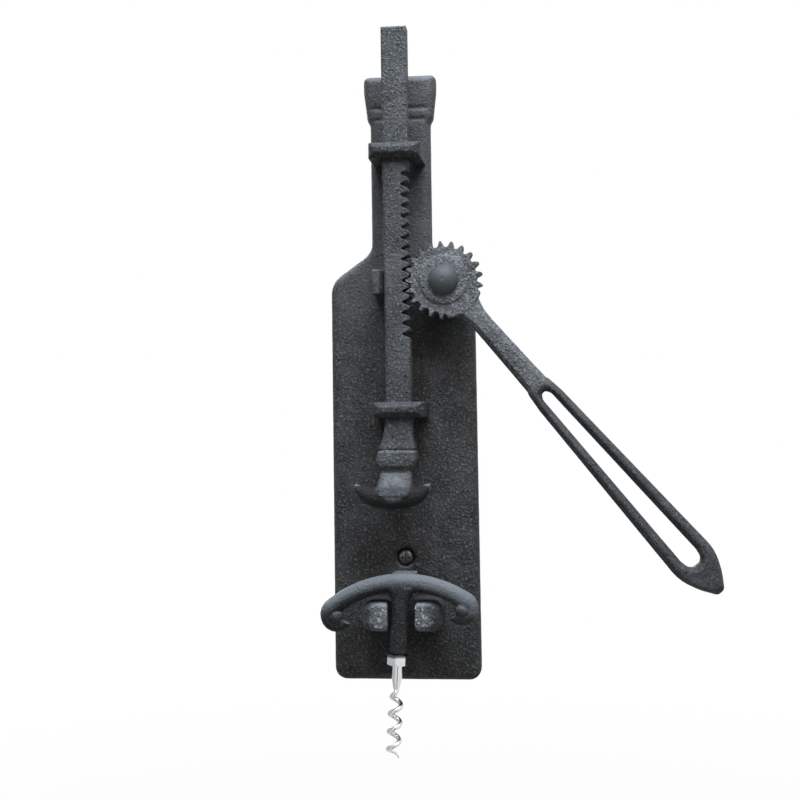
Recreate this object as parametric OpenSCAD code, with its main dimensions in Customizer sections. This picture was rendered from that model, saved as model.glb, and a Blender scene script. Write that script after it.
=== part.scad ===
// Wall-mounted lever cork puller: a bottle-shaped cast plate, a sliding rack, a geared lever and a corkscrew.
// Each piece is drawn lying on its back (x right, y up the plate, z out from the wall) and then stood up.

/* [Plate] */
// Height of the bottle-shaped plate
plate_h = 368; // [350:1:400]
// Width of the bottle's body under its shoulder
body_w = 88; // [82:1:100]
// Width of the bottle's body at its foot
foot_w = 90; // [82:1:104]
// Width of the bottle's neck
neck_w = 37; // [35:0.5:46]
// Width of the bottle's mouth
mouth_w = 44.5; // [42:0.5:54]
// Height of the mouth, from the top edge down to the neck
mouth_h = 30; // [24:1:36]
// Length from the top edge down to the neck's foot
neck_len = 107; // [100:1:114]
// Drop of the shoulder between neck and body
shoulder_drop = 18; // [12:1:24]
// Depth of the plate, from the wall to its front face
plate_d = 12; // [11:0.5:16]
// Thickness of the hollow casting's wall
plate_wall = 5; // [4:0.25:5]
// Radius of the plate's front edges
edge_r = 6; // [4:0.25:6.5]
// Radius of the two lower corners
corner_r = 7.5; // [5:0.5:14]
// Radius of the two upper corners
mouth_corner_r = 3.5; // [2:0.5:6]
// Radius where the neck runs into the shoulder
neck_sweep_r = 11; // [8:1:20]
// Radius where the shoulder runs into the body
shoulder_r = 14; // [10:1:16]
// Width of the two grooves round the mouth
groove_w = 2.8; // [1:0.2:3.4]
// Height of the band between the grooves
band_h = 4; // [3:0.2:9]

/* [Wall screws] */
// Rise of the lower wall screw above the plate's foot
lower_screw_rise = 75; // [73:1:80]
// Drop of the upper wall screw below the plate's top
upper_screw_drop = 37; // [35:1:39]
// Diameter of a wall screw's plain shank
wall_shank_d = 4.2; // [3.5:0.1:4.6]
// Diameter of a wall screw's thread
wall_thread_d = 4.8; // [4.6:0.1:5.2]
// Length of a wall screw behind the wall's face
wall_screw_len = 30; // [20:1:45]
// Diameter of a wall screw's head
wall_head_d = 9.2; // [8:0.1:10]
// Height of a wall screw's head
wall_head_h = 3; // [2.4:0.1:3.2]

/* [Rack] */
// Width of the rack bar
rack_w = 15.2; // [14:0.2:18]
// Depth of the rack bar, front to back
rack_t = 12; // [10:0.5:14]
// Gap between the plate's front and the back of the rack bar
rack_gap = 15; // [13:0.5:20]
// Rise of the rack's upper end above the plate's top
rack_rise = 22; // [6:1:36]
// Chamfer on the rack bar's front edges
rack_chamfer = 1.2; // [0.5:0.1:2]
// Notches below the pivot's height
notches_down = 5; // [4:1:6]
// Notches above the pivot's height
notches_up = 10; // [8:1:11]

/* [Teeth] */
// Gear module: pitch of the teeth along the rack divided by pi
tooth_module = 2; // [1.9:0.05:2.1]
// Teeth on a full turn of the hub
hub_teeth = 21; // [20:1:22]
// Slope of the tooth flanks
flank_angle = 22; // [20:0.5:25]
// Height of the rack's teeth above the pitch line
rack_addendum = 1.1; // [0.9:0.1:1.5]
// Height of the hub's teeth above the pitch circle
hub_addendum = 2; // [1.6:0.1:2.3]
// Room between a tooth's tip and the root it enters
tip_clear = 0.4; // [0.3:0.1:0.8]
// Depth of the rack's notches beyond the room for the hub's teeth
notch_relief = 1.4; // [0:0.1:1.5]
// Thinning of each tooth along the pitch line, for backlash
tooth_thinning = 0.35; // [0.3:0.05:0.5]

/* [Lever] */
// Drop of the lever's pivot below the neck's foot
pivot_drop = 20.6; // [17:0.2:27]
// Direction of the lever at rest, in degrees below level
lever_drop = 49.4; // [40:0.2:60]
// Length from the pivot to the lever's tip
lever_len = 241; // [225:1:260]
// Thickness of the toothed hub
hub_t = 11; // [9:0.5:12]
// Thickness of the lever arm
arm_t = 9; // [7:0.5:9]
// Width of the arm beside the hub
arm_w = 12; // [10:0.5:14]
// Width of the arm just before the slot
arm_end_w = 14.5; // [13:0.5:17]
// Width of the grip where the slot starts
grip_start_w = 18; // [17:0.5:21]
// Width of the grip near the tip
grip_w = 27.5; // [26:0.5:32]
// Distance from the pivot to the start of the slot
slot_start = 88; // [80:1:96]
// Distance from the pivot to the end of the slot
slot_end = 220; // [205:1:222]
// Length of the lever's pointed nose
nose_len = 9; // [7:0.5:11]
// Width of the nose at its blunt end
nose_w = 5; // [4:0.5:7]
// Width of the slot at its start
slot_start_w = 6; // [5:0.5:7]
// Width of the slot at its end
slot_end_w = 11; // [9:0.5:12]
// Width of the bevel on the front of the grip and arm
bevel_w = 3; // [1:0.1:3.2]
// Height of the raised ring round the pivot
ring_h = 0.9; // [0.4:0.1:1.5]
// Diameter of the raised ring round the pivot
ring_d = 28.5; // [22:0.5:30]

/* [Pivot] */
// Diameter of the pivot bolt's shank
pivot_d = 8; // [6:0.5:8]
// Diameter of the pivot bolt's domed head
dome_d = 17.8; // [16:0.2:20]
// Height of the pivot bolt's domed head
dome_h = 6; // [4:0.2:7]
// Wall of the bush that the hub turns on
bush_wall = 2; // [1.5:0.1:2.5]
// Diameter of the boss on the plate under the hub
boss_d = 25; // [22:0.5:30]
// Thickness of the thrust washer
thrust_t = 1.6; // [1:0.1:2.5]
// Width across the flats of the pivot nut
pivot_nut_af = 13; // [13:0.5:15]
// Height of the pivot nut
pivot_nut_h = 3.6; // [3:0.1:3.8]
// Thickness of the lock washer under the pivot nut
pivot_lock_t = 1.8; // [1.2:0.1:2]

/* [Guides] */
// Drop of the upper guide below the plate's top
upper_guide_drop = 51.4; // [49:0.2:54]
// Drop of the lower guide below the lever's pivot
lower_guide_drop = 75.6; // [71:0.2:80]
// Length of a guide along the rack
guide_h = 9.5; // [8:0.5:11]
// Width of a guide's legs
guide_leg_w = 7.6; // [7:0.2:9]
// Thickness of a guide's front bar
guide_front_t = 5.5; // [4:0.5:7]
// Thickness of a guide's bar behind the rack
guide_back_t = 4.5; // [3:0.5:6]
// Radius of a guide's front corners
guide_corner_r = 6; // [3:0.5:6.5]
// Chamfer along a guide's front edges
guide_chamfer = 3.2; // [1.5:0.1:3.4]
// Diameter of the screws that hold the guides and the fork
casting_screw_d = 4; // [3:0.25:4]
// Depth to which those screws enter the guides and the fork
casting_screw_in = 9; // [7:0.5:11]

/* [Lug] */
// Width of the lug that backs the rack beside the hub
lug_w = 7.4; // [6:0.1:9]
// Length of the lug along the rack
lug_h = 15; // [12:1:28]

/* [Foot and claw] */
// Length of the flaring foot under the lower guide
flare_h = 17.5; // [14:0.5:22]
// Width of the foot at the bottom of its flare
flare_w = 22; // [20:0.5:26]
// Width of the knuckle under the flare
knuckle_w = 24; // [22:0.5:28]
// Height of the knuckle
knuckle_h = 11; // [9:0.5:13]
// Width of the waist between knuckle and claw
waist_w = 18.5; // [16:0.5:20]
// Length of the waist
waist_h = 4; // [3:0.5:5]
// Diameter of the claw's rounded middle
claw_dome_d = 20; // [17:0.5:21]
// Distance between the tips of the two horns
horn_span = 45; // [38:1:48]
// Rise of the horns' tips above the bottom of the claw
horn_rise = 15.4; // [12:0.2:17]
// Shift of the horns to the left of the claw's middle
horn_shift = 1.6; // [0:0.2:2]
// Sideways run of the foot to the left, per millimetre of its length
foot_skew = 0.06; // [0:0.01:0.08]
// Dip of the claw's upper edge between its horns
trough_h = 3; // [2:0.5:5]
// Depth of the claw at its middle, front to back
claw_d = 17; // [14:0.5:18]

/* [Fork] */
// Rise of the top of the prongs above the plate's foot
fork_rise = 52.5; // [50:0.5:55]
// Gap between the two prongs
fork_gap = 15.5; // [15.5:0.25:17]
// Width of a prong
prong_w = 16.5; // [13:0.5:17]
// Height of a prong
prong_h = 19; // [17:0.5:22]
// Length of a prong out from the plate
prong_len = 31; // [28:0.5:36]
// Thickness of the heel between the prongs
heel_t = 12; // [8:0.5:14]
// Rise of the heel above the top of the prongs
heel_rise = 15; // [8:0.5:15]

/* [Corkscrew] */
// Distance of the corkscrew from the plate's front
corkscrew_out = 25; // [22:0.5:28]
// Lean of the stem in the fork, in degrees
stem_lean = 3.5; // [0:0.25:3.5]
// Tilt of the arched bar, in degrees
arch_tilt = 3; // [0:0.25:4]
// Radius of the arched bar's centre line
arch_r = 67; // [60:1:80]
// Half of the arched bar's span, up to its rolled ends
arch_half = 40.5; // [38:0.5:46]
// Shift of the arched bar to the left of its stem
arch_shift = 2.5; // [0:0.25:3]
// Diameter of the arched bar
bar_d = 10.8; // [8:0.2:11]
// Radius of the rolled ends' centre line
roll_r = 5.4; // [4.6:0.1:6]
// Diameter of the bar in its rolled ends
roll_d = 8.6; // [8:0.1:9]
// Diameter of the knobs in the rolled ends
knob_d = 9; // [7.5:0.1:10]
// Diameter of the stem
stem_d = 10.6; // [9.5:0.1:10.8]
// Length of the stem below the arched bar's centre line
stem_len = 42; // [38:0.5:46]
// Diameter of the steel shank
shank_d = 6; // [5:0.1:6.5]
// Length of the shank below the nut
shank_len = 15; // [10:0.5:20]
// Width across the flats of the nut
nut_af = 11; // [10:0.1:13]
// Height of the nut
nut_h = 6.5; // [5:0.1:8]
// Outer diameter of the worm
worm_d = 9.2; // [8:0.1:11]
// Diameter of the worm's wire
wire_d = 2.9; // [2.4:0.1:3.4]
// Pitch of the worm
worm_pitch = 10.4; // [8:0.1:12]
// Turns of the worm
worm_turns = 4; // [3:0.25:5]

/* [Clearances] */
// Radial clearance of the hub on its bush
bush_clear = 0.06; // [0.02:0.01:0.1]
// End play of the hub, at each face
end_play = 0.2; // [0.1:0.05:0.4]
// Clearance round the rack in its guides
guide_clear = 0.5; // [0.3:0.05:0.8]
// Radial clearance of a thread in its nut or tapped hole
thread_clear = 0.05; // [0.02:0.01:0.1]
// Radial clearance of a screw in a drilled hole
hole_clear = 0.3; // [0.2:0.05:0.5]
// Room round the pivot nut's corners in its pocket
nut_room = 0.6; // [0.4:0.1:1]
// Gap between the arched bar and the prongs under it
rest_gap = 0.5; // [0.3:0.1:1]

/* [Hidden] */
$fn = 64;

black_iron = "#2a2a2c";
bright_steel = "#c9ccd0";
zinc = "#9a9ca0";

// Overlap that lets joined shapes and cuts pass through each other's faces
lap = 1;

// Depths out from the wall
hollow_d = plate_d - plate_wall;
rack_back = plate_d + rack_gap;
rack_front = rack_back + rack_t;
rack_mid = rack_back + rack_t / 2;
hub_back = rack_mid - hub_t / 2;
hub_front = hub_back + hub_t;
thrust_front = hub_back - end_play;
boss_front = thrust_front - thrust_t;
dome_seat = hub_front + ring_h + end_play;
corkscrew_z = plate_d + corkscrew_out;

// Places across and up the plate
plate_top = plate_h / 2;
plate_foot = -plate_h / 2;
neck_foot_y = plate_top - neck_len;
pivot_y = neck_foot_y - pivot_drop;
rack_top = plate_top + rack_rise;
upper_guide_y = plate_top - upper_guide_drop;
lower_guide_y = pivot_y - lower_guide_drop;
fork_top = plate_foot + fork_rise;
pitch_r = tooth_module * hub_teeth / 2;
tooth_pitch = PI * tooth_module;
pitch_line_x = rack_w / 2 - rack_addendum;
pivot_x = pitch_line_x + pitch_r;
bush_r = pivot_d / 2 + thread_clear + bush_wall;
eye_w = rack_w + 2 * guide_clear;
guide_w = eye_w + 2 * guide_leg_w;
guide_screw_x = (eye_w + guide_leg_w) / 2;
prong_x = (fork_gap + prong_w) / 2;
prong_out_x = fork_gap / 2 + prong_w;
fork_mid_y = fork_top - prong_h / 2;
wall_screw_ys = [plate_foot + lower_screw_rise, plate_top - upper_screw_drop];

// Wall screws: depth of their sinks, room round their heads and wall of the bosses behind them
wall_sink_d = wall_head_h + 0.6;
wall_head_room = 1.1;
screw_boss_wall = 4;
// Reach of the lug past the rack's middle
lug_reach = 2.5;

// Flare of the mouth: rise of its foot and the radii along it
mouth_step = 3.4;
mouth_radii = [3, 7, 12];
// Rise of the lower groove above the mouth's foot
groove_rise = 1.2;

// Screws through the plate's wall: places of the guides' and the fork's
casting_screw_places = [
    for (y = [upper_guide_y, lower_guide_y], side = [-1, 1]) [side * guide_screw_x, y],
    for (side = [-1, 1]) [side * prong_x, fork_mid_y]
];
casting_head_d = 1.75 * casting_screw_d;
casting_head_h = 0.65 * casting_screw_d;
casting_washer_t = 0.25 * casting_screw_d;
casting_pocket_d = casting_head_d + 2 * hole_clear;
// Spot faces in the hollow's ceiling, on which the washers sit
back_seat = hollow_d + 0.4;

// Outlines with rounded corners: a corner is [x, y, radius], and corners run anticlockwise
arc_steps = 8;
least_corner_r = 0.3;

function unit(v) = v / norm(v);
function turned(v, a) = [v.x * cos(a) - v.y * sin(a), v.x * sin(a) + v.y * cos(a)];
function flat(c) = [c.x, c.y];
function corner_side(p, q, r) = sign(cross(q - p, r - q));

// Corner q between p and r, moved inwards by o
function inset_corner(p, q, r, o) =
    let (a = unit(q - p), b = unit(r - q))
    q + o * [-a.y - b.y, a.x + b.x] / (1 + a * b);

// Points of the arc that rounds corner q with radius rad
function corner_arc(p, q, r, rad) =
    let (a = unit(q - p), b = unit(r - q), side = corner_side(p, q, r), turn = acos(a * b))
    let (inward = side * [-a.y, a.x], centre = q - rad * tan(turn / 2) * a + rad * inward)
    [for (i = [0 : arc_steps]) centre + turned(-rad * inward, side * turn * i / arc_steps)];

// Rounded outline through the corners, moved inwards by o
function rounded(corners, o = 0) =
    let (n = len(corners), sharp = [for (c = corners) flat(c)])
    let (moved = [for (i = [0 : n - 1])
        inset_corner(sharp[(i + n - 1) % n], sharp[i], sharp[(i + 1) % n], o)])
    [for (i = [0 : n - 1])
        let (p = (i + n - 1) % n, r = (i + 1) % n)
        let (side = corner_side(sharp[p], sharp[i], sharp[r]))
        each corner_arc(moved[p], moved[i], moved[r], max(corners[i][2] - side * o, least_corner_r))];

// Corners of a rectangle of width w and height h round c
function box_corners(w, h, r, c = [0, 0]) =
    [for (s = [[-1, -1], [1, -1], [1, 1], [-1, 1]]) [c.x + s.x * w / 2, c.y + s.y * h / 2, r]];

// Outline lifted to height z
function ring(points, z) = [for (p = points) [p.x, p.y, z]];

// Closed skin over a stack of rings with equal numbers of points
module loft(rings) {
    n = len(rings[0]);
    last = (len(rings) - 1) * n;
    sides = [
        for (i = [0 : len(rings) - 2], j = [0 : n - 1])
            let (a = i * n + j, b = i * n + (j + 1) % n)
            each [[a, b + n, b], [a, a + n, b + n]]
    ];
    ends = [[for (j = [0 : n - 1]) j], [for (j = [n - 1 : -1 : 0]) last + j]];
    polyhedron([for (r = rings) each r], concat(sides, ends));
}

// Closed skin over rings that run round and meet again
module loop_skin(rings) {
    n = len(rings[0]);
    count = len(rings);
    polyhedron([for (r = rings) each r], [
        for (i = [0 : count - 1], j = [0 : n - 1])
            let (here = i * n, next = ((i + 1) % count) * n, k = (j + 1) % n)
            each [[here + j, here + k, next + k], [here + j, next + k, next + j]]
    ]);
}

// Stands a piece up against the wall
module stand() {
    rotate([90, 0, 0]) children();
}

// Round bar along the plate's height, from y0 up to y1
module upright(y0, y1, r0, r1) {
    translate([0, y0, 0]) rotate([-90, 0, 0]) cylinder(h = y1 - y0, r1 = r0, r2 = r1);
}

// Ball whose poles point up and down the plate, inside the metal round it
module ball(d) {
    rotate([90, 0, 0]) sphere(d = d);
}

// Half of the bottle's outline, from the foot up to the mouth
function bottle_side() = [
    [foot_w / 2, plate_foot, corner_r],
    [body_w / 2, neck_foot_y - shoulder_drop, shoulder_r],
    [neck_w / 2, neck_foot_y, neck_sweep_r],
    [neck_w / 2, plate_top - mouth_h, mouth_radii[0]],
    [(neck_w + mouth_w) / 4, plate_top - mouth_h + mouth_step, mouth_radii[1]],
    [mouth_w / 2, plate_top - mouth_h / 3, mouth_radii[2]],
    [mouth_w / 2, plate_top, mouth_corner_r]
];

// The whole outline, right side up and left side down
function bottle_corners() =
    let (side = bottle_side(), n = len(side))
    concat(side, [for (i = [n - 1 : -1 : 0]) [-side[i].x, side[i].y, side[i][2]]]);

// The hollow casting: a rim with a rounded front edge, swept round a flat panel
module plate_form() {
    steps = 5;
    last_angle = 80;
    panel_lap = 0.4;
    corners = bottle_corners();
    // Points of the rim's section: [distance inwards, height]
    section = concat(
        [[plate_wall, 0], [0, 0]],
        [for (i = [0 : steps])
            let (a = last_angle * i / steps)
            [edge_r * (1 - cos(a)), plate_d - edge_r * (1 - sin(a))]],
        [[edge_r + lap, plate_d - lap], [plate_wall, hollow_d + lap]]
    );
    outlines = [for (s = section) rounded(corners, s[0])];
    loop_skin([for (i = [0 : len(outlines[0]) - 1])
        [for (k = [0 : len(section) - 1]) [outlines[k][i].x, outlines[k][i].y, section[k][1]]]]);
    translate([0, 0, hollow_d]) linear_extrude(plate_d - hollow_d)
        polygon(rounded(corners, plate_wall - panel_lap));
}

// The two grooves round the mouth, on either side of the band
module mouth_grooves() {
    band_y = plate_top - mouth_h + groove_rise + groove_w + band_h / 2;
    for (side = [-1, 1])
        translate([0, band_y + side * (band_h + groove_w) / 2, plate_d])
            rotate([45, 0, 0]) cube([2 * mouth_w, groove_w / sqrt(2), groove_w / sqrt(2)], center = true);
}

module backplate() {
    boss_r = wall_head_d / 2 + screw_boss_wall;
    lug_z = rack_mid + lug_reach;
    color(black_iron) stand() difference() {
        union() {
            plate_form();
            for (y = wall_screw_ys) translate([0, y, 0]) cylinder(h = hollow_d + lap, r = boss_r);
            translate([pivot_x, pivot_y, hollow_d + lap])
                cylinder(h = boss_front - hollow_d - lap, d = boss_d);
            translate([-rack_w / 2 - guide_clear - lug_w, pivot_y - lug_h / 2, plate_d - lap]) lug(lug_z);
        }
        for (y = wall_screw_ys) translate([0, y, 0]) {
            translate([0, 0, -lap]) cylinder(h = plate_d + 2 * lap, d = wall_thread_d + 2 * hole_clear);
            translate([0, 0, plate_d - wall_sink_d])
                cylinder(h = wall_sink_d + lap, r = wall_head_d / 2 + wall_head_room);
        }
        mouth_grooves();
        translate([pivot_x, pivot_y, 0]) cylinder(h = boss_front + lap, r = pivot_d / 2 + hole_clear);
        translate([pivot_x, pivot_y, -lap])
            cylinder(h = back_seat + lap, r = pivot_nut_af / 2 / cos(30) + nut_room);
        for (p = casting_screw_places) translate([p.x, p.y, -lap]) {
            cylinder(h = plate_d + 2 * lap, r = casting_screw_d / 2 + hole_clear);
            cylinder(h = back_seat + lap, d = casting_pocket_d);
        }
    }
}

// Lug beside the rack, with its front edges cut back, more so towards the rack
module lug(top) {
    rack_cut_w = 2.9;
    rack_cut_h = 4.2;
    outer_cut = 1;
    rise = top - plate_d + lap;
    translate([0, lug_h, 0]) rotate([90, 0, 0]) linear_extrude(lug_h)
        polygon([[0, 0], [lug_w, 0], [lug_w, rise - rack_cut_h], [lug_w - rack_cut_w, rise],
            [outer_cut, rise], [0, rise - outer_cut]]);
}

// Foot of the heel, a little above the prongs' own
heel_margin = 3;
heel_foot = fork_top - prong_h + heel_margin;

module bottle_fork() {
    tapped_d = casting_screw_d + 2 * thread_clear;
    bridge_step = 3;
    color(black_iron) stand() difference() {
        union() {
            for (side = [-1, 1]) prong(side);
            translate([-prong_x, heel_foot, plate_d])
                cube([2 * prong_x, prong_h - 2 * heel_margin, heel_t - bridge_step]);
            heel();
        }
        for (side = [-1, 1])
            translate([side * prong_x, fork_mid_y, plate_d - lap])
                cylinder(h = casting_screw_in + 2 * lap, d = tapped_d);
    }
}

// One blunt prong: flat towards the gap, round below, narrowing to its nose
module prong(side) {
    inner_x = side * fork_gap / 2;
    inner_r = 2;
    outer_share = 0.4;
    blunt_len = 9;
    blunt_w = 4;
    blunt_h = 5;
    // Sections: [distance out, width, height, step down of the top]
    sections = [
        [0, prong_w, prong_h, 0],
        [prong_len - blunt_len, prong_w, prong_h, 0],
        [prong_len - 0.4 * blunt_len, prong_w - 0.4 * blunt_w, prong_h - 0.4 * blunt_h, 0.1 * blunt_h],
        [prong_len, prong_w - blunt_w, prong_h - blunt_h, 0.3 * blunt_h]
    ];
    loft([for (s = sections)
        let (c = [inner_x + side * s[1] / 2, fork_top - s[3] - s[2] / 2])
        let (corners = box_corners(s[1], s[2], inner_r, c))
        ring(rounded([for (q = corners)
            [q.x, q.y, side * (q.x - c.x) > 0 ? outer_share * s[1] : inner_r]]), plate_d + s[0])]);
}

// Heel that joins the prongs behind the stem and shows as a ledge above the arched bar
module heel() {
    ledge_y = fork_top - 4;
    top_y = fork_top + heel_rise;
    top_half = fork_gap / 2 - 0.5;
    half = fork_gap / 2 + lap;
    translate([0, 0, plate_d]) linear_extrude(heel_t)
        polygon([[-half, heel_foot], [half, heel_foot], [half, ledge_y], [top_half, top_y],
            [-top_half, top_y], [-half, ledge_y]]);
}

// Guide loop: outline seen along the rack, with the eye that the rack runs in
module guide(y) {
    eye_t = rack_t + 2 * guide_clear;
    eye_front = rack_front + guide_clear;
    front = eye_front + guide_front_t;
    back = eye_front - eye_t - guide_back_t;
    tapped_d = casting_screw_d + 2 * thread_clear;
    cut = guide_chamfer * sqrt(2);
    fillet = 2;
    leg_corners = [
        [-guide_w / 2, plate_d, least_corner_r],
        [-eye_w / 2, plate_d, least_corner_r],
        [-eye_w / 2, back, fillet],
        [eye_w / 2, back, fillet],
        [eye_w / 2, plate_d, least_corner_r],
        [guide_w / 2, plate_d, least_corner_r],
        [guide_w / 2, front, guide_corner_r],
        [-guide_w / 2, front, guide_corner_r]
    ];
    color(black_iron) stand() translate([0, y, 0]) difference() {
        translate([0, guide_h / 2, 0]) rotate([90, 0, 0]) linear_extrude(guide_h) difference() {
            polygon(rounded(leg_corners));
            translate([-eye_w / 2, eye_front - eye_t]) square([eye_w, eye_t]);
        }
        for (side = [-1, 1]) {
            translate([side * guide_screw_x, 0, plate_d - lap])
                cylinder(h = casting_screw_in + 2 * lap, d = tapped_d);
            translate([0, side * guide_h / 2, front])
                rotate([45, 0, 0]) cube([2 * guide_w, cut, cut], center = true);
        }
    }
}

module upper_guide() {
    guide(upper_guide_y);
}

module lower_guide() {
    guide(lower_guide_y);
}

// Slotted screws from the hollow back into the guides and the fork
module casting_screws() {
    seat = back_seat - casting_washer_t;
    slot_w = 0.25 * casting_screw_d;
    color(zinc) stand() for (p = casting_screw_places) translate([p.x, p.y, 0]) {
        translate([0, 0, seat - lap])
            cylinder(h = plate_d - seat + lap + casting_screw_in, d = casting_screw_d);
        difference() {
            translate([0, 0, seat - casting_head_h]) cylinder(h = casting_head_h, d = casting_head_d);
            translate([0, 0, seat - casting_head_h])
                cube([2 * casting_head_d, slot_w, casting_head_h], center = true);
        }
    }
}

// Flat ring of inner radius r0 and outer radius r1, from height z0 up
module washer(z0, h, r0, r1) {
    translate([0, 0, z0]) difference() {
        cylinder(h = h, r = r1);
        translate([0, 0, -lap]) cylinder(h = h + 2 * lap, r = r0);
    }
}

// Spring washer: a ring with a slanting split
module split_washer(z0, h, r0, r1) {
    difference() {
        washer(z0, h, r0, r1);
        translate([0, r1, z0 + h / 2])
            rotate([0, 30, 0]) cube([h / 2, 2 * (r1 - r0) + r1, 4 * h], center = true);
    }
}

module casting_washers() {
    color(zinc) stand() for (p = casting_screw_places) translate([p.x, p.y, 0])
        split_washer(back_seat - casting_washer_t, casting_washer_t, casting_screw_d / 2 + thread_clear,
            casting_head_d / 2);
}

// Half of the least width of a notch's floor
least_floor = 0.15;

// Right-hand edge of the rack: notches with straight flanks, one of them level with the pivot
function rack_edge() =
    let (half_gap = tooth_pitch / 4 + tooth_thinning / 2, root = hub_addendum + tip_clear + notch_relief)
    let (mouth = half_gap + rack_addendum * tan(flank_angle))
    let (floor = max(least_floor, half_gap - root * tan(flank_angle)))
    [for (k = [-notches_down : notches_up])
        let (y = pivot_y + k * tooth_pitch)
        each [[rack_w / 2, y - mouth], [pitch_line_x - root, y - floor],
            [pitch_line_x - root, y + floor], [rack_w / 2, y + mouth]]];

// The straight bar with its notches
module toothed_bar(bottom) {
    cut = rack_chamfer * sqrt(2);
    difference() {
        translate([0, 0, rack_back]) linear_extrude(rack_t) polygon(concat(
            [[-rack_w / 2, bottom], [rack_w / 2, bottom]], rack_edge(),
            [[rack_w / 2, rack_top], [-rack_w / 2, rack_top]]));
        for (side = [-1, 1])
            translate([side * rack_w / 2, 0, rack_front])
                rotate([0, 45, 0]) cube([cut, 3 * plate_h, cut], center = true);
        translate([0, rack_top, rack_front]) rotate([45, 0, 0]) cube([2 * rack_w, cut, cut], center = true);
    }
}

// Swelling foot under the lower guide: sections [distance down, width, depth, shift outwards, corner radius]
module rack_foot(top) {
    knuckle_top = flare_h + 2;
    knuckle_mid = knuckle_top + 0.4 * knuckle_h;
    waist_top = knuckle_top + knuckle_h;
    waist_t = rack_t + 1;
    neck_end = waist_top + waist_h;
    sharp_r = 2;
    round_r = 6;
    sections = [
        [-lap, rack_w, rack_t, 0, sharp_r],
        [0, rack_w + 0.6, rack_t + 0.6, 0, sharp_r],
        [0.6 * flare_h, (rack_w + flare_w) / 2 - 0.8, rack_t + 1.6, 0.5, sharp_r],
        [flare_h, flare_w, rack_t + 3.6, 1, sharp_r],
        [flare_h + 0.9, flare_w - 2, rack_t + 2, 1, sharp_r],
        [knuckle_top, knuckle_w - 1.2, rack_t + 5.5, 1.2, sharp_r],
        [knuckle_mid, knuckle_w, rack_t + 6.5, 1.6, sharp_r],
        [waist_top - 3, knuckle_w - 2.5, rack_t + 5.5, 2, sharp_r],
        [waist_top, waist_w, waist_t, 2.5, sharp_r],
        [neck_end, waist_w + 1, waist_t + 2, 4, 2 * sharp_r],
        [neck_end + 0.25 * claw_dome_d, claw_dome_d + 1.5, waist_t + 5, 5.5, round_r],
        [neck_end + 0.5 * claw_dome_d, claw_dome_d + 4, waist_t + 5, 6, round_r],
        [neck_end + 0.65 * claw_dome_d, claw_dome_d + 3, waist_t + 2, 6, round_r]
    ];
    translate([0, top, rack_mid]) rotate([90, 0, 0]) loft([for (s = sections)
        ring(rounded(box_corners(s[1], s[2], s[4], [-foot_skew * max(0, s[0]), s[3]])), s[0])]);
}

// Claw: a rounded middle over a bowl with two upturned horns
module claw(x, bottom, z) {
    steps = 12;
    sides = 16;
    last_turn = 80;
    fullness = 2.5;
    tip_d = 6;
    dome_lift = 1.2;
    dome_back = 1;
    dome_y = bottom + claw_dome_d / 2 + dome_lift;
    translate([x, dome_y, z - dome_back]) ball(claw_dome_d);
    translate([x - horn_shift, bottom, z]) loft([for (i = [-steps : steps])
        let (across = sin(last_turn * i / steps), reach = abs(across))
        let (low = horn_rise * (1 - pow(1 - pow(reach, fullness), 1 / fullness)))
        let (high = horn_rise - trough_h * (1 - reach * reach))
        let (d = tip_d + (claw_d - tip_d) * sqrt(1 - reach * reach))
        [for (j = [0 : sides - 1])
            let (b = 360 * j / sides)
            [horn_span / 2 * across, (low + high + (high - low) * cos(b)) / 2, d / 2 * sin(b)]]]);
}

module rack_bar() {
    foot_top = lower_guide_y - guide_h / 2 - guide_clear;
    knuckle_foot = foot_top - flare_h - 2 - knuckle_h;
    claw_sink = 1.4;
    claw_bottom = knuckle_foot - waist_h - claw_dome_d + claw_sink;
    claw_out = 6;
    claw_x = -foot_skew * (foot_top - claw_bottom - claw_dome_d / 2);
    cusp_x = -foot_skew * (foot_top - knuckle_foot);
    cusp_w = 17;
    cusp_h = 4;
    cusp_drop = 1.5;
    cusp_back = rack_front + 3;
    color(black_iron) stand() {
        difference() {
            union() {
                toothed_bar(foot_top);
                rack_foot(foot_top);
            }
            translate([cusp_x, knuckle_foot - cusp_drop, cusp_back]) linear_extrude(knuckle_h)
                polygon([[-cusp_w / 2, 0], [cusp_w / 2, 0], [0, cusp_h]]);
        }
        claw(claw_x, claw_bottom, rack_mid + claw_out);
    }
}

// Involute of angle a, as an angle
function involute(a) = tan(a) * 180 / PI - a;

// Half the angle that a hub tooth covers at radius r
function tooth_half_angle(r) =
    let (base_r = pitch_r * cos(flank_angle))
    let (half_pitch = (tooth_pitch / 2 - tooth_thinning) / 2 / pitch_r * 180 / PI)
    half_pitch + involute(flank_angle) - involute(acos(min(1, base_r / r)));

function polar(r, a) = [r * cos(a), r * sin(a)];

// Half the angle of the plain rim where the arm leaves the hub, and its step below the teeth's tips
rim_half = 36;
rim_inset = 0.4;
// Step of the arm's front below the hub's
arm_step = 0.2;

// Toothed outline of the hub: a tooth points at the rack, and the rim is plain where the arm leaves it
function hub_outline() =
    let (step = 360 / hub_teeth, root_r = pitch_r - rack_addendum - tip_clear, tip_r = pitch_r + hub_addendum)
    let (flank = [for (i = [0 : 4]) root_r + (tip_r - root_r) * i / 4])
    let (first = -floor((180 + lever_drop - rim_half) / step))
    let (last = floor((180 - lever_drop - rim_half) / step))
    let (rim_from = 180 + (last + 0.6) * step, rim_to = 540 + (first - 0.6) * step)
    concat(
        [for (k = [first : last])
            let (mid = 180 + k * step)
            each concat([for (r = flank) polar(r, mid - tooth_half_angle(r))],
                [for (i = [4 : -1 : 0]) polar(flank[i], mid + tooth_half_angle(flank[i]))])],
        [for (i = [0 : 8]) polar(tip_r - rim_inset, rim_from + (rim_to - rim_from) * i / 8)]
    );

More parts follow.
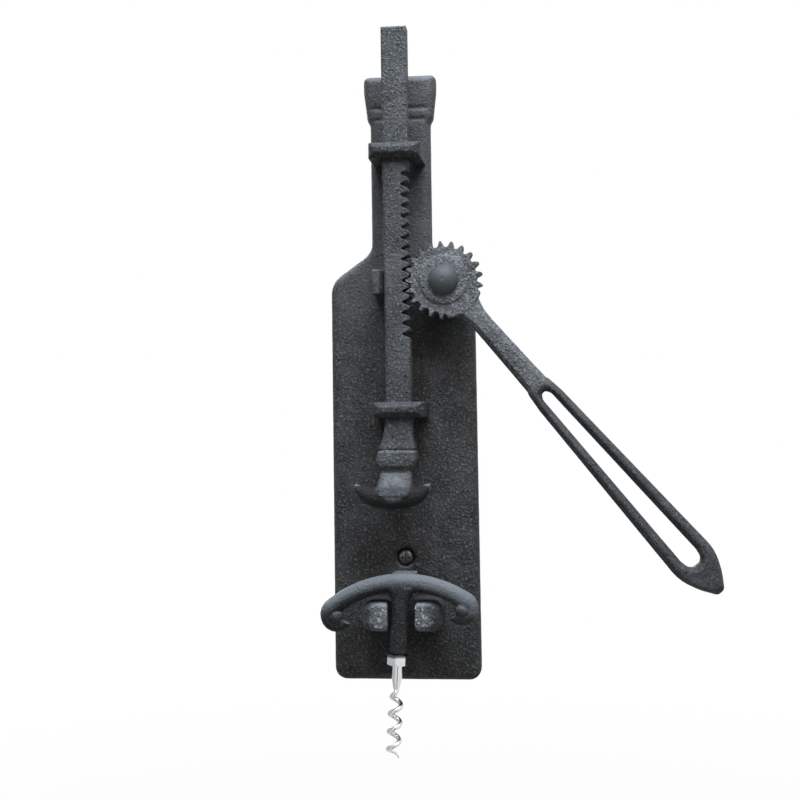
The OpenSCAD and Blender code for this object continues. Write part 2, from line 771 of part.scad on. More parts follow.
// Corners of an outline along +x that is alike on both sides, from its upper half
function both_sides(half) =
    let (n = len(half))
    concat(half, [for (i = [n - 1 : -1 : 0]) [half[i].x, -half[i].y, half[i][2]]]);

// Outline of the slotted grip along +x, and of its slot, corner for corner
function grip_corners() = both_sides([
    [lever_len, nose_w / 2, 3.4],
    [lever_len - nose_len, 0.31 * grip_w, 36],
    [lever_len - 2.3 * nose_len, grip_w / 2, 30],
    [slot_start + 6, grip_start_w / 2, 24],
    [slot_start - 9, arm_end_w / 2, 6]
]);
function slot_corners() = both_sides([
    [slot_end, 0.22 * slot_end_w, 0.14 * slot_end_w],
    [slot_end - 0.2 * slot_end_w, 0.42 * slot_end_w, 0.2 * slot_end_w],
    [slot_end - 0.6 * slot_end_w, slot_end_w / 2, 0.4 * slot_end_w],
    [slot_start + slot_start_w / 2, slot_start_w / 2, slot_start_w / 2],
    [slot_start, slot_start_w / 5, slot_start_w / 6]
]);

// Bevelled section of the bar between a point of the slot and the point of the grip's outline beside it
function bar_section(inner, outer) =
    let (across = outer - inner, way = unit([across.x, across.y, 0]), low = bevel_w / 2)
    let (front = min(bevel_w, 0.42 * norm(across)) * way, back = min(low, 0.42 * norm(across)) * way)
    let (from = [inner.x, inner.y, 0], to = [outer.x, outer.y, 0], up = [0, 0, 1])
    [from + low * up, from + back, to - back, to + low * up,
        to + (arm_t - bevel_w) * up, to - front + arm_t * up,
        from + front + arm_t * up, from + (arm_t - bevel_w) * up];

// Slotted grip: a bevelled bar that runs round the slot
module grip() {
    outer = rounded(grip_corners());
    inner = rounded(slot_corners());
    loop_skin([for (i = [0 : len(outer) - 1]) bar_section(inner[i], outer[i])]);
}

// Solid arm between hub and grip: sections [distance from the pivot, width], a little inside the grip's faces
module arm() {
    skin = 0.25;
    sections = [
        [pitch_r - 5, arm_w + 9],
        [pitch_r + 2, arm_w + 3.5],
        [pitch_r + 8, arm_w + 0.6],
        [pitch_r + 15, arm_w],
        [slot_start - 20, (arm_w + arm_end_w) / 2],
        [slot_start - 6, arm_end_w - 2 * skin]
    ];
    // Turned so that the stack of sections runs along +x
    rotate([90, 0, 90]) loft([for (s = sections)
        let (section = bar_section([-s[1] / 2, 0], [s[1] / 2, 0]))
        ring([for (p = section) [p.x, max(skin, min(p.z, arm_t - skin))]], s[0])]);
}

module gear_lever() {
    color(black_iron) stand() translate([pivot_x, pivot_y, hub_back]) difference() {
        union() {
            linear_extrude(hub_t) polygon(hub_outline());
            cylinder(h = hub_t + ring_h, d = ring_d);
            rotate(-lever_drop) translate([0, 0, hub_t - arm_t - arm_step]) {
                arm();
                grip();
            }
        }
        translate([0, 0, -lap]) cylinder(h = hub_t + ring_h + 2 * lap, r = bush_r + bush_clear);
    }
}

// Dome-headed bolt that clamps the bush
module pivot_bolt() {
    ball_r = (dome_d * dome_d / 4 + dome_h * dome_h) / (2 * dome_h);
    proud = 0.6;
    shank_end = back_seat - pivot_lock_t - pivot_nut_h - proud;
    color(black_iron) stand() translate([pivot_x, pivot_y, 0]) {
        translate([0, 0, shank_end]) cylinder(h = dome_seat - shank_end + lap, d = pivot_d);
        translate([0, 0, dome_seat]) intersection() {
            translate([0, 0, dome_h - ball_r]) sphere(r = ball_r, $fn = 96);
            cylinder(h = dome_h + lap, d = dome_d + lap);
        }
    }
}

module pivot_bush() {
    color(zinc) stand() translate([pivot_x, pivot_y, 0])
        washer(thrust_front, dome_seat - thrust_front, pivot_d / 2 + thread_clear, bush_r);
}

module thrust_washer() {
    thrust_margin = 1;
    color(zinc) stand() translate([pivot_x, pivot_y, 0])
        washer(boss_front, thrust_t, pivot_d / 2 + thread_clear, boss_d / 2 - thrust_margin);
}

module pivot_lock_washer() {
    color(zinc) stand() translate([pivot_x, pivot_y, 0])
        split_washer(back_seat - pivot_lock_t, pivot_lock_t, pivot_d / 2 + thread_clear, pivot_nut_af / 2);
}

// Hexagon nut with its corners turned off at both ends
module hex_nut(af, h, bore_r) {
    corner_radius = af / 2 / cos(30);
    turned_r = corner_radius + 0.1;
    turned_h = 0.6 * (corner_radius - af / 2);
    difference() {
        intersection() {
            cylinder(h = h, r = corner_radius, $fn = 6);
            rotate_extrude() polygon([[0, 0], [af / 2, 0], [turned_r, turned_h], [turned_r, h - turned_h],
                [af / 2, h], [0, h]]);
        }
        translate([0, 0, -lap]) cylinder(h = h + 2 * lap, r = bore_r);
    }
}

module pivot_nut() {
    color(zinc) stand() translate([pivot_x, pivot_y, back_seat - pivot_lock_t - pivot_nut_h])
        hex_nut(pivot_nut_af, pivot_nut_h, pivot_d / 2 + thread_clear);
}

// Drop of the arched bar's centre line below its middle, at distance x to the side
function arch_drop(x) = arch_r - sqrt(arch_r * arch_r - x * x);

// Height of the arched bar's middle, so that the bar rests on the left prong's outer edge
rest_x = prong_out_x - arch_shift;
arch_y = fork_top + rest_gap + arch_drop(rest_x) + rest_x * tan(arch_tilt)
    + bar_d / 2 / cos(asin(rest_x / arch_r));

// Places the corkscrew in the fork, with its origin in the middle of the arched bar
module in_fork() {
    stand() translate([0, arch_y, corkscrew_z]) children();
}

// The arched bar's line by its turning angle: along the arch, then round the rolled ends
arch_half_angle = asin(arch_half / arch_r);
roll_turn = 200;
roll_eye = (arch_r - roll_r) * [sin(arch_half_angle), cos(arch_half_angle)] - [0, arch_r];
function bar_side(a) = a <= arch_half_angle
    ? arch_r * [sin(a), cos(a) - 1]
    : roll_eye + roll_r * [sin(a), cos(a)];
function bar_point(a) = let (p = bar_side(abs(a))) [sign(a) * p.x, p.y, 0];
function bar_r(a) = let (into_roll = max(0, min(1, (abs(a) - arch_half_angle) / 60)))
    (bar_d + (roll_d - bar_d) * into_roll) / 2;

// Ring of the bar's section at turning angle a
function bar_ring(a) = let (sides = 16, out = [sin(a), cos(a), 0])
    [for (j = [0 : sides - 1])
        let (b = 360 * j / sides)
        bar_point(a) + bar_r(a) * (cos(b) * out + sin(b) * [0, 0, 1])];

// The bar as one sweep from rolled end to rolled end, with a knob in each
module arched_bar() {
    arch_steps = 12;
    roll_steps = 10;
    knob_out = 1.5;
    rolled = [for (i = [1 : roll_steps]) arch_half_angle + roll_turn * i / roll_steps];
    angles = concat(
        [for (i = [roll_steps - 1 : -1 : 0]) -rolled[i]],
        [for (i = [-arch_steps : arch_steps]) arch_half_angle * i / arch_steps],
        rolled
    );
    loft([for (a = angles) bar_ring(a)]);
    for (side = [-1, 1]) translate([side * roll_eye.x, roll_eye.y, knob_out]) ball(knob_d);
}

// Web that spreads the stem's top into the arched bar: sections [height, width, depth], from its foot up
module stem_web() {
    spread = 10;
    foot = -bar_d / 2 - 8;
    slim = 0.3;
    sections = [
        [foot, stem_d - slim, stem_d - slim],
        [0.7 * foot, stem_d + 0.15 * spread, stem_d - slim],
        [0.45 * foot, stem_d + 0.45 * spread, bar_d],
        [0.2 * foot, stem_d + spread, bar_d - slim]
    ];
    rotate([-90, 0, 0]) loft([for (s = sections)
        ring(rounded(box_corners(s[1], s[2], 0.48 * s[2])), s[0])]);
}

module corkscrew_handle() {
    stem_taper = 0.3;
    bore_depth = 16;
    color(black_iron) in_fork() difference() {
        union() {
            translate([-arch_shift, 0, 0]) rotate(arch_tilt) arched_bar();
            rotate(-stem_lean) {
                upright(-stem_len, 0, stem_d / 2 - stem_taper, stem_d / 2);
                stem_web();
            }
        }
        rotate(-stem_lean) upright(-stem_len - lap, -stem_len + bore_depth, shank_d / 2 + thread_clear,
            shank_d / 2 + thread_clear);
    }
}

module corkscrew_nut() {
    color(bright_steel) in_fork() rotate(-stem_lean) translate([0, -stem_len, 0]) rotate([90, 0, 0])
        hex_nut(nut_af, nut_h, shank_d / 2 + thread_clear);
}

// The worm's centre line: it leaves the shank's axis, winds down right-handed and ends in a point
worm_steps = 16;
wire_sides = 8;
worm_rings = worm_turns * worm_steps;
worm_r = (worm_d - wire_d) / 2;
run_in = 0.75;
function worm_share(s) = let (x = min(1, s / run_in)) x * x * (3 - 2 * x);
function worm_point(s) =
    let (r = worm_r * worm_share(s))
    [r * cos(-360 * s), r * sin(-360 * s), -worm_pitch * s];
function wire_r(s) = wire_d / 2 * min(1, 0.12 + 1.6 * (worm_turns - s));
worm_line = [for (i = [0 : worm_rings]) worm_point(i / worm_steps)];
worm_turn_gaps = [for (i = [0 : worm_rings - worm_steps]) norm(worm_line[i + worm_steps] - worm_line[i])];
worm_gap = min(worm_turn_gaps) - wire_d;
echo(worm_gap_to_itself_mm = worm_gap);

// Ring of the wire's section round the centre line at turn s
function wire_ring(s) =
    let (ahead = unit(worm_point(s + 0.01) - worm_point(s - 0.01)))
    let (out = [cos(-360 * s), sin(-360 * s), 0], first = unit(out - (out * ahead) * ahead))
    let (second = cross(ahead, first))
    [for (j = [0 : wire_sides - 1])
        let (b = 360 * j / wire_sides)
        worm_point(s) + wire_r(s) * (cos(b) * first + sin(b) * second)];

module corkscrew_worm() {
    thread_in = 14;
    taper_h = 7;
    nut_foot = -stem_len - nut_h;
    shank_foot = nut_foot - shank_len;
    color(bright_steel) in_fork() rotate(-stem_lean) {
        upright(shank_foot + taper_h, -stem_len + thread_in, shank_d / 2, shank_d / 2);
        upright(shank_foot, shank_foot + taper_h, wire_d / 2, shank_d / 2);
        translate([0, shank_foot + wire_d / 2, 0]) rotate([-90, 0, 0])
            loft([for (i = [0 : worm_rings]) wire_ring(i / worm_steps)]);
    }
}

// Cross-head screws that hold the plate to the wall
module wall_screws() {
    tip_h = 6;
    cross_l = 0.58 * wall_head_d;
    cross_w = 0.13 * wall_head_d;
    crown = 0.35 * wall_head_h;
    seat = plate_d - wall_sink_d;
    color(zinc) stand() for (y = wall_screw_ys) translate([0, y, 0]) {
        difference() {
            translate([0, 0, seat]) rotate_extrude() polygon([[0, 0], [wall_head_d / 2, 0],
                [wall_head_d / 2, wall_head_h - crown], [0.42 * wall_head_d, wall_head_h - 0.4 * crown],
                [0.3 * wall_head_d, wall_head_h], [0, wall_head_h]]);
            for (a = [0, 90]) rotate(a)
                translate([0, 0, seat + wall_head_h]) cube([cross_l, cross_w, wall_head_h], center = true);
        }
        cylinder(h = seat + lap, d = wall_shank_d);
        translate([0, 0, tip_h - wall_screw_len]) cylinder(h = wall_screw_len - tip_h, d = wall_thread_d);
        translate([0, 0, -wall_screw_len]) cylinder(h = tip_h, d1 = 0.6, d2 = wall_thread_d);
    }
}

backplate();
bottle_fork();
upper_guide();
lower_guide();
casting_screws();
casting_washers();
rack_bar();
gear_lever();
pivot_bolt();
pivot_bush();
thrust_washer();
pivot_lock_washer();
pivot_nut();
corkscrew_handle();
corkscrew_nut();
corkscrew_worm();
wall_screws();
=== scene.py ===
import math

import bmesh
import bpy
from mathutils import Matrix, Vector


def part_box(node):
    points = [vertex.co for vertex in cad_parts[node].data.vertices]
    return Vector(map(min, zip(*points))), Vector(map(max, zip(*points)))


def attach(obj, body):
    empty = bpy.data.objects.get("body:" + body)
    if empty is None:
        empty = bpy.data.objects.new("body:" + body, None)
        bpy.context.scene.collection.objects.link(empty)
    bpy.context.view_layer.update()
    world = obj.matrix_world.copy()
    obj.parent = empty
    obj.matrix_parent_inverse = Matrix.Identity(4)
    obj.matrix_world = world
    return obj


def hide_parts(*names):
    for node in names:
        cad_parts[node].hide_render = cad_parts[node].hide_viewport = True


# Wall-mounted lever cork puller in black sand-cast iron, with a bright corkscrew parked in its fork.
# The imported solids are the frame. Lengths are metres; MM turns the drawing's millimetres into them.

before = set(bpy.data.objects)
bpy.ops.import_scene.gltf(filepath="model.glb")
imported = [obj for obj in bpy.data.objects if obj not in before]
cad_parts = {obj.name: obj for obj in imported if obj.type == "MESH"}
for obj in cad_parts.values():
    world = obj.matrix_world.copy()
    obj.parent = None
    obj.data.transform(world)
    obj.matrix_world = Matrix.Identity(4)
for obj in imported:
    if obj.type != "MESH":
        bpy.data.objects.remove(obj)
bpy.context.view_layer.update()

MM = 0.001


# Node boards

class Wire:
    """A node's output that does sums: each operator adds a Math node to its board."""

    def __init__(self, board, socket):
        self.board = board
        self.socket = socket

    def sum(self, operation, first, second):
        return self.board.add("ShaderNodeMath", {"operation": operation}, {0: first, 1: second})

    def __add__(self, other):
        return self.sum("ADD", self, other)

    __radd__ = __add__

    def __sub__(self, other):
        return self.sum("SUBTRACT", self, other)

    def __rsub__(self, other):
        return self.sum("SUBTRACT", other, self)

    def __mul__(self, other):
        return self.sum("MULTIPLY", self, other)

    __rmul__ = __mul__

    def __truediv__(self, other):
        return self.sum("DIVIDE", self, other)

    def __rtruediv__(self, other):
        return self.sum("DIVIDE", other, self)

    def __neg__(self):
        return self.sum("MULTIPLY", self, -1.0)

    def least(self, other):
        return self.sum("MINIMUM", self, other)

    def between(self, low, high):
        """0 below low, 1 above high, smooth in between."""
        return self.board.add("ShaderNodeMapRange", {"interpolation_type": "SMOOTHSTEP"},
                              {"Value": self, "From Min": low, "From Max": high})


class Board:
    """A node tree that nodes are added to, one call for each."""

    def __init__(self, tree):
        self.tree = tree

    def add(self, kind, settings=None, sockets=None, out=0):
        """Adds a node. sockets maps its inputs to values or wires; out names the output to go on with."""
        node = self.tree.nodes.new(kind)
        for name, value in (settings or {}).items():
            setattr(node, name, value)
        for key, value in (sockets or {}).items():
            if isinstance(value, Wire):
                self.tree.links.new(value.socket, node.inputs[key])
            else:
                node.inputs[key].default_value = value
        return Wire(self, node.outputs[out]) if node.outputs else None

    def mix(self, share, first, second):
        """Colour between first and second, by the node's inputs and output for colours."""
        return self.add("ShaderNodeMix", {"data_type": "RGBA"}, {0: share, 6: first, 7: second}, out=2)

    def coat(self, under, share, layer):
        """Colour under a layer, which is a colour and the most that it covers."""
        colour, cover = layer
        return self.mix(share * cover, under, colour)

    def noise(self, where, size, detail=3.0, roughness=0.55):
        """Soft cloud from 0 to 1 whose patches are about size across."""
        return self.add("ShaderNodeTexNoise", {}, {
            "Vector": where, "Scale": 1 / size, "Detail": detail, "Roughness": roughness})

    def cells(self, where, size):
        """Distance to the nearest of many points that lie about size apart, 0 at the point."""
        return self.add("ShaderNodeTexVoronoi", {}, {"Vector": where, "Scale": 1 / size})

    def stretched(self, where, factors):
        """Place whose coordinates are multiplied by factors."""
        return self.add("ShaderNodeVectorMath", {"operation": "MULTIPLY"}, {0: where, 1: factors})

    def reach(self, where, centre):
        """Distance from centre."""
        return self.add("ShaderNodeVectorMath", {"operation": "DISTANCE"}, {0: where, 1: centre}, "Value")

    def along(self, vector, axis):
        """One coordinate of a vector; axis is X, Y or Z."""
        return self.add("ShaderNodeSeparateXYZ", {}, {"Vector": vector}, axis)

    def function(self, operation, value):
        """Math node with one input, such as a sine."""
        return self.add("ShaderNodeMath", {"operation": operation}, {0: value})

    def surface(self, label):
        """What the surface gives by itself, such as its Normal."""
        return self.add("ShaderNodeNewGeometry", out=label)

    def bump(self, strength, depth, height):
        return self.add("ShaderNodeBump", {}, {
            "Strength": strength, "Distance": depth, "Height": height})


# Finishes: a layer is a linear colour and the most that it covers of what lies under it

def grey(value, cool=0.0):
    """Linear grey, a little blue where cool is above 0 and a little brown below."""
    return (value * (1 - cool), value, value * (1 + cool), 1.0)


# Painted light: paler paint towards the top of the plate.
TOP_LIGHT_PAINT = (grey(0.16, 0.05), 0.2)
BARE_EDGE = (grey(0.22, 0.03), 0.6)
PIT_DIRT = (grey(0.006), 0.65)
# Painted shade: near black laid into hollows.
HOLLOW_SHADE = (grey(0.006), 0.7)
# Painted shade on the claw's sides and underside.
CLAW_SHADE = (grey(0.012), 0.92)
# Painted shade: the arch's shadow on the prongs behind and beside their noses.
PRONG_SHADE = (grey(0.02), 0.85)
HANDLED_PAINT = (grey(0.02), 0.6)
# Painted light from above on the arch's upper side, where hands also rub.
RUBBED_AND_LIT_CREST = (grey(0.17, 0.07), 0.65)
ENAMEL_SCUFF = (grey(0.13, 0.03), 0.35)
STEEL_STAIN = (grey(0.14, 0.02), 0.4)
# Grimy tone at the joint and painted shade of the stem, on the top of the nut.
STEEL_GRIME_AND_SHADE = ((0.018, 0.03, 0.035, 1.0), 0.92)
# Painted reflection: the darker tone that reflecting faces are given.
PAINTED_DARK_REFLECTION = grey(0.1, 0.02)
# Pale dusty tone and painted light from above, on what faces up.
PALE_DUST_AND_TOP_LIGHT = grey(0.22, 0.08)
GRAIN_COVER = 0.7
RUB_COVER = 0.45
HOLLOW_REACH = 3.0 * MM
CAST_BUMP = 1.4 * MM
CAST_SPECULAR = 0.08
SPECK_COOL = 0.04
RUB_COOL = 0.06
FLAT_ON_Y = (1.0, 0.0, 1.0)


def new_finish(name):
    """Empty material, its board and the Object coordinates to paint by."""
    material = bpy.data.materials.new(name)
    material.use_nodes = True
    material.node_tree.nodes.clear()
    board = Board(material.node_tree)
    return material, board, board.add("ShaderNodeTexCoord", out="Object")


def end_finish(board, settings):
    shader = board.add("ShaderNodeBsdfPrincipled", {}, settings)
    board.add("ShaderNodeOutputMaterial", {}, {"Surface": shader})


def beyond_share(board, where, ring):
    """0 inside a ring about a line along y, 1 outside it."""
    centre, inner, outer = ring
    return board.reach(board.stretched(where, FLAT_ON_Y), centre).between(inner, outer)


def bowl_shade_share(board, where, bowl):
    """1 below the brim and beside the rubbed front of a bowl, where painted shade goes, 0 on its front and
    above.
    """
    centre, half_width, half_height, brim = bowl
    blend = 1.5 * MM
    shares = (1 / half_width, 0.0, 1 / half_height)
    middle = (centre.x * shares[0], 0.0, centre.z * shares[2])
    reach = board.reach(board.stretched(where, shares), middle)
    level = board.along(where, "Z")
    return reach.between(0.94, 1.14) * (1 - level.between(brim - blend, brim + blend))


def nose_shade_share(board, where, lumps, nose):
    """0 on bare noses and above the top, 1 behind and beside them, where painted shade goes; lumps make
    the border ragged.
    """
    front, back, inner, outer, top = nose
    ragged_depth, ragged_width, blend = 1.5 * MM, 3.0 * MM, 2.0 * MM
    across, depth, level = (board.along(where, axis) for axis in "XYZ")
    aside = board.function("ABSOLUTE", across)
    bare = 1 - (depth + ragged_depth * lumps).between(front, back)
    bare = bare * (1 - (aside + ragged_width * lumps).between(inner, outer))
    return (1 - bare) * (1 - level.between(top - blend, top))


def cast_iron(name, dark, light, speck=0.16, polished=(), crest=None, bowl=None,
              grip=None, nose=None, top_light=None, dust_and_top_light=0.4, cool=0.02):
    """Black paint on a sand casting: sand grain, lumps, pits and bare, lighter edges, with painted shade
    in its hollows.

    dark, light and speck are the greys of the paint and of its raised grains.
    polished lists (centre, radius, tone) of places that use has rubbed smooth and their greys.
    crest is (centre, inner radius, outer radius) of an arch whose upper side hands have rubbed smooth and
    that is painted paler there as painted light from above.
    bowl is (centre, half width, half height, brim) of a rubbed front; its sides below brim are painted
    near black as painted shade.
    grip is (centre, inner radius, outer radius): what lies farther out is smoother and blacker.
    nose is (front, back, inner, outer, top): bare iron up to front along y and to inner from the middle,
    painted dark as painted shade of the arch from back and from outer on, and not darkened above top.
    fade is (low, high): painted light from above makes the paint paler, with less grain, from low up to
    high.
    dust is the share of pale, dusty tone and painted light from above on what faces up, 0 on a piece that
    turns.
    cool is how blue the paint is.
    """
    material, board, where = new_finish(name)
    lumps = board.noise(where, 5.0 * MM, detail=2.0)
    sand = board.noise(where, 1.5 * MM, detail=3.0, roughness=0.6)
    blotches = board.noise(where, 16.0 * MM, detail=4.0)
    pits = (1 - board.cells(where, 2.2 * MM).between(0.1, 0.34)) * lumps.between(0.45, 0.6)
    edge = board.surface("Pointiness").between(0.53, 0.62)
    openness = board.add("ShaderNodeAmbientOcclusion", {"only_local": True, "samples": 8},
                         {"Distance": HOLLOW_REACH}, "AO")
    hollow = 1 - openness.between(0.45, 0.85)
    upwards = board.along(board.surface("Normal"), "Z").between(0.15, 0.8)

    colour = board.mix(blotches.between(0.35, 0.7), grey(dark, cool), grey(light, cool))
    grain = 1.0
    # Painted light from above: paler paint and less grain towards the top.
    if top_light:
        top_lit_share = board.along(where, "Z").between(*top_light)
        colour = board.coat(colour, top_lit_share, TOP_LIGHT_PAINT)
        grain = 1 - 0.4 * top_lit_share
    grains = (grey(speck, cool + SPECK_COOL), GRAIN_COVER)
    colour = board.coat(colour, sand.between(0.5, 0.7) * grain, grains)
    # Faces that point up are painted paler: dusty, and lit by painted light from above.
    colour = board.coat(colour, upwards, (PALE_DUST_AND_TOP_LIGHT, dust_and_top_light))
    colour = board.coat(colour, edge * lumps.between(0.3, 0.6), BARE_EDGE)
    colour = board.coat(colour, pits * grain, PIT_DIRT)
    # Painted shade: the hollows that ambient occlusion finds are painted near black.
    colour = board.coat(colour, hollow, HOLLOW_SHADE)
    rough = 0.36 + 0.2 * sand + 0.1 * blotches - 0.08 * edge
    height = (0.9 * sand + 0.5 * lumps - 0.6 * pits) * grain

    if bowl:
        # Painted shade: the claw's sides below the brim are painted near black.
        colour = board.coat(colour, bowl_shade_share(board, where, bowl), CLAW_SHADE)
    if polished:
        rubbed = 0.0
        for centre, radius, tone in polished:
            spot = 1 - board.reach(where, centre).between(0.7 * radius, 1.15 * radius)
            colour = board.coat(colour, spot, (grey(tone, RUB_COOL), RUB_COVER))
            rubbed = spot + rubbed
        rubbed = rubbed.least(1.0)
        rough = rough - 0.14 * rubbed
        height = height * (1 - 0.6 * rubbed)
    if nose:
        # Painted shade: the prongs are painted near black behind and beside their bare noses.
        colour = board.coat(colour, nose_shade_share(board, where, lumps, nose), PRONG_SHADE)
    # crest paints the arch's upper side paler as painted light; grip and crest both smooth the grain.
    for ring, layer in ((grip, HANDLED_PAINT), (crest, RUBBED_AND_LIT_CREST)):
        if ring:
            beyond = beyond_share(board, where, ring)
            colour = board.coat(colour, beyond, layer)
            height = height * (1 - 0.5 * beyond)
    end_finish(board, {"Base Color": colour, "Roughness": rough, "Specular IOR Level": CAST_SPECULAR,
                       "Normal": board.bump(1.0, CAST_BUMP, height)})
    return material


def satin_black(name):
    """Smooth black enamel on a turned head, with faint scuffs and a dusty grain."""
    material, board, where = new_finish(name)
    haze = board.noise(where, 3.0 * MM, detail=4.0)
    scuffs = board.noise(board.stretched(where, (1.0, 1.0, 7.0)), 1.4 * MM, detail=3.0)
    colour = board.mix(haze.between(0.4, 0.75), grey(0.035, 0.1), grey(0.055, 0.1))
    colour = board.coat(colour, scuffs.between(0.62, 0.74), ENAMEL_SCUFF)
    rough = 0.62 + 0.1 * haze + 0.08 * scuffs.between(0.55, 0.75)
    end_finish(board, {"Base Color": colour, "Roughness": rough,
                       "Normal": board.bump(0.12, 0.2 * MM, haze + 0.6 * scuffs)})
    return material


def plated_steel(name, dark_band_above=None):
    """Bright plated steel with drawing lines along it, slightly cloudy gloss, and painted dark reflections
    on faces turned left and in a band turned slightly right.

    dark_band_above is the height from which it is dark and bluish: grimy at the joint, and painted shade
    of the stem.
    """
    material, board, where = new_finish(name)
    lines = board.noise(board.stretched(where, (1.0, 1.0, 0.08)), 0.35 * MM, detail=2.0)
    cloud = board.noise(where, 4.0 * MM, detail=3.0)
    stain = board.noise(where, 1.6 * MM, detail=4.0).between(0.58, 0.8)
    # Painted reflection: faces turned left, and a band turned slightly right, are painted darker.
    across = board.along(board.surface("Normal"), "X")
    dark_reflection_band = across.between(0.0, 0.12) * (1 - across.between(0.2, 0.34))
    left_side = 1 - across.between(-0.45, 0.0)
    colour = board.mix(cloud, grey(0.6, 0.02), grey(0.84, 0.02))
    colour = board.mix(left_side * 0.45 + dark_reflection_band * 0.75, colour, PAINTED_DARK_REFLECTION)
    colour = board.coat(colour, stain, STEEL_STAIN)
    # Painted shade of the stem, with grimy tone, on a ragged band at the top.
    if dark_band_above is not None:
        ragged, blend = 1.2 * MM, 1.6 * MM
        height = board.along(where, "Z") + ragged * cloud
        grime_and_shade = height.between(dark_band_above, dark_band_above + blend)
        colour = board.coat(colour, grime_and_shade, STEEL_GRIME_AND_SHADE)
    rough = 0.14 + 0.14 * cloud + 0.2 * stain
    end_finish(board, {"Base Color": colour, "Metallic": 1.0, "Roughness": rough,
                       "Normal": board.bump(0.12, 0.08 * MM, lines)})
    return material


def zinc_plate(name, dark=0.32, light=0.5):
    """Dull plating: spangled patches, tool marks and darker handling spots."""
    material, board, where = new_finish(name)
    spangle = board.cells(where, 1.3 * MM)
    cloud = board.noise(where, 2.4 * MM, detail=4.0)
    marks = board.noise(board.stretched(where, (1.0, 6.0, 1.0)), 0.5 * MM, detail=2.0)
    colour = board.mix(cloud.between(0.35, 0.7), grey(dark, 0.03), grey(light, 0.03))
    colour = board.coat(colour, marks.between(0.6, 0.8), (grey(0.4 * dark), 0.5))
    rough = 0.3 + 0.18 * cloud + 0.12 * spangle
    end_finish(board, {"Base Color": colour, "Metallic": 1.0, "Roughness": rough,
                       "Normal": board.bump(0.15, 0.1 * MM, marks + 0.5 * spangle)})
    return material


# Geometry trees

WIRE_SIDES = 14
POINT_SHARE = 0.12


def new_tree(name, sizes):
    """Geometry tree, its board and its inputs by name. sizes maps a name to its socket's kind."""
    tree = bpy.data.node_groups.new(name, "GeometryNodeTree")
    tree.interface.new_socket("Geometry", in_out="INPUT", socket_type="NodeSocketGeometry")
    for label, kind in sizes.items():
        tree.interface.new_socket(label, in_out="INPUT", socket_type="NodeSocket" + kind)
    tree.interface.new_socket("Geometry", in_out="OUTPUT", socket_type="NodeSocketGeometry")
    board = Board(tree)
    entry = tree.nodes.new("NodeGroupInput")
    given = {socket.name: Wire(board, socket) for socket in entry.outputs if socket.name}
    return tree, board, given


def end_tree(board, geometry, material):
    smooth = board.add("GeometryNodeSetShadeSmooth", {}, {"Geometry": geometry, "Shade Smooth": True})
    whole = board.add("GeometryNodeRealizeInstances", {}, {"Geometry": smooth})
    painted = board.add("GeometryNodeSetMaterial", {}, {"Geometry": whole, "Material": material})
    board.add("NodeGroupOutput", {}, {"Geometry": painted})


def cast_skin_tree():
    """Sinks a surface by low lumps and fine sand marks, never outwards."""
    tree, board, given = new_tree("cast skin", {
        "Lump Size": "Float", "Lump Depth": "Float", "Sand Size": "Float", "Sand Depth": "Float",
        "Seed": "Float", "Finish": "Material"})
    where = board.add("GeometryNodeInputPosition")
    outwards = board.add("GeometryNodeInputNormal")
    lumps, sand = (
        board.add("ShaderNodeTexNoise", {"noise_dimensions": "4D"}, {
            "Vector": where, "W": given["Seed"], "Scale": 1 / given[size], "Detail": 1.0})
        for size in ("Lump Size", "Sand Size"))
    depth = lumps * given["Lump Depth"] + sand * given["Sand Depth"]
    sink = board.add("ShaderNodeVectorMath", {"operation": "SCALE"}, {0: outwards, "Scale": -depth})
    sunk = board.add("GeometryNodeSetPosition", {}, {"Geometry": given["Geometry"], "Offset": sink})
    end_tree(board, sunk, given["Finish"])
    return tree


def wound_wire_tree():
    """Round wire wound right-handed down its axis.

    It leaves the axis over the run-in, which is counted in turns, and ends in a point.
    """
    tree, board, given = new_tree("wound wire", {
        "Turns": "Float", "Pitch": "Float", "Coil Radius": "Float", "Wire Radius": "Float",
        "Run In": "Float", "Point Rate": "Float", "Rings": "Int", "Finish": "Material"})
    line = board.add("GeometryNodeCurvePrimitiveLine", {}, {"End": (0.0, 0.0, -1.0)})
    beads = board.add("GeometryNodeResampleCurve", {}, {"Curve": line, "Count": given["Rings"]})
    turn = board.add("GeometryNodeSplineParameter") * given["Turns"]
    run = (turn / given["Run In"]).least(1.0)
    radius = given["Coil Radius"] * run * run * (3 - 2 * run)
    angle = turn * math.tau
    across = radius * board.function("COSINE", angle)
    away = -(radius * board.function("SINE", angle))
    down = -(turn * given["Pitch"])
    place = board.add("ShaderNodeCombineXYZ", {}, {"X": across, "Y": away, "Z": down})
    coil = board.add("GeometryNodeSetPosition", {}, {"Geometry": beads, "Position": place})
    to_point = POINT_SHARE + (given["Turns"] - turn) * given["Point Rate"]
    thickness = given["Wire Radius"] * to_point.least(1.0)
    circle = board.add("GeometryNodeCurvePrimitiveCircle", {}, {"Resolution": WIRE_SIDES, "Radius": 1.0})
    tube = board.add("GeometryNodeCurveToMesh", {}, {
        "Curve": coil, "Profile Curve": circle, "Scale": thickness, "Fill Caps": True})
    end_tree(board, tube, given["Finish"])
    return tree


def screw_row_tree():
    """Repeats a screw along a straight row."""
    tree, board, given = new_tree("screw row", {
        "Count": "Int", "Start": "Vector", "Step": "Vector", "Finish": "Material"})
    row = board.add("GeometryNodeMeshLine", {}, {
        "Count": given["Count"], "Start Location": given["Start"], "Offset": given["Step"]})
    screws = board.add("GeometryNodeInstanceOnPoints", {}, {"Points": row, "Instance": given["Geometry"]})
    end_tree(board, screws, given["Finish"])
    return tree


